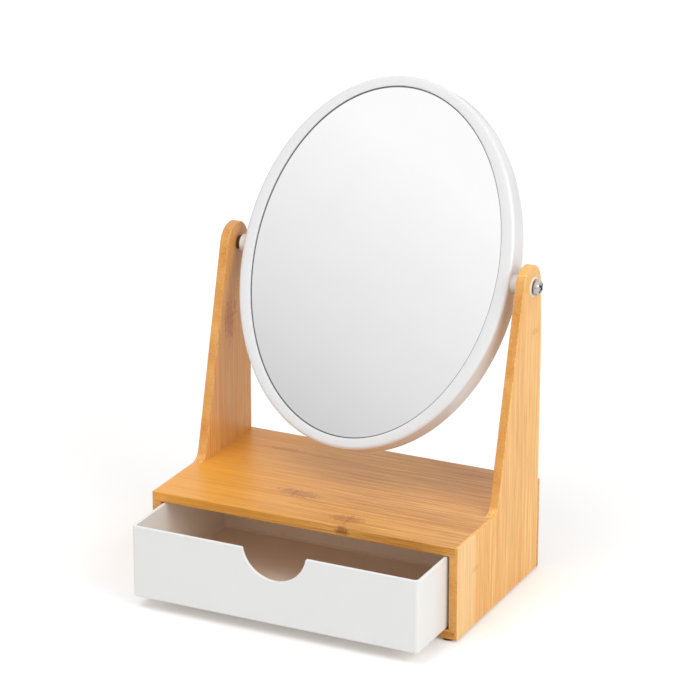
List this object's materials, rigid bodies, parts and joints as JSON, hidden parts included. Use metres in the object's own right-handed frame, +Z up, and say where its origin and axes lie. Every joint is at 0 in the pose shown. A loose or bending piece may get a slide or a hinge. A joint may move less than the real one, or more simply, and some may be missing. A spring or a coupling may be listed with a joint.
{
  "type": "magnifying mirror",
  "caption": "Oval tilting mirror with a plain and a magnifying side, hung between posts of a bamboo box that holds a sliding drawer.",
  "frame": {"origin": "on the table top, under the middle of the box's footprint", "axes": "+X to the right along the box's width, +Y to the back, +Z up"},
  "size_m": [0.231, 0.2209, 0.3186],
  "materials": {
    "bamboo_side": "clear satin lacquer over vertical bamboo strips",
    "bamboo_plate": "clear satin lacquer over bamboo strips",
    "bamboo_back": "thin bamboo board, lightly lacquered",
    "pin_steel": "plain steel",
    "pad_felt": "brown felt",
    "drawer_plastic": "white, fine satin moulding",
    "frame_plastic": "white gloss",
    "mirror_glass": "silvered glass",
    "foam": "closed-cell foam",
    "screw_steel": "bright plating",
    "spring_steel": "dark spring steel",
    "washer_plastic": "milky plastic",
    "washer_rubber": "dark soft rubber",
    "insert_brass": "plain brass"
  },
  "bodies": {
    "base": {"left_side_panel": "bamboo_side", "right_side_panel": "bamboo_side", "top_plate": "bamboo_plate", "bottom_plate": "bamboo_plate", "back_panel": "bamboo_back", "back_panel_pins": "pin_steel", "foot_pad_front_left": "pad_felt", "foot_pad_front_right": "pad_felt", "foot_pad_rear_left": "pad_felt", "foot_pad_rear_right": "pad_felt", "right_outer_washer": "washer_plastic", "left_outer_washer": "washer_plastic", "right_inner_washer": "washer_rubber", "left_inner_washer": "washer_rubber"},
    "drawer": {"drawer_tray": "drawer_plastic"},
    "mirror_head": {"mirror_frame": "frame_plastic", "rear_bezel": "frame_plastic", "plain_mirror": "mirror_glass", "magnifying_mirror": "mirror_glass", "foam_spacer": "foam", "right_pivot_screw": "screw_steel", "left_pivot_screw": "screw_steel", "right_spring_washer": "spring_steel", "left_spring_washer": "spring_steel", "right_thread_insert": "insert_brass", "left_thread_insert": "insert_brass"}
  },
  "joints": [
    {"name": "drawer_slide", "type": "slide", "parent": "base", "child": "drawer", "axis": [0, -1, 0], "range_m": [-0.042, 0.07]},
    {"name": "mirror_tilt", "type": "hinge", "parent": "base", "child": "mirror_head", "pos_m": [0, 0.04805, 0.2039], "axis": [1, 0, 0], "continuous": true}
  ]
}
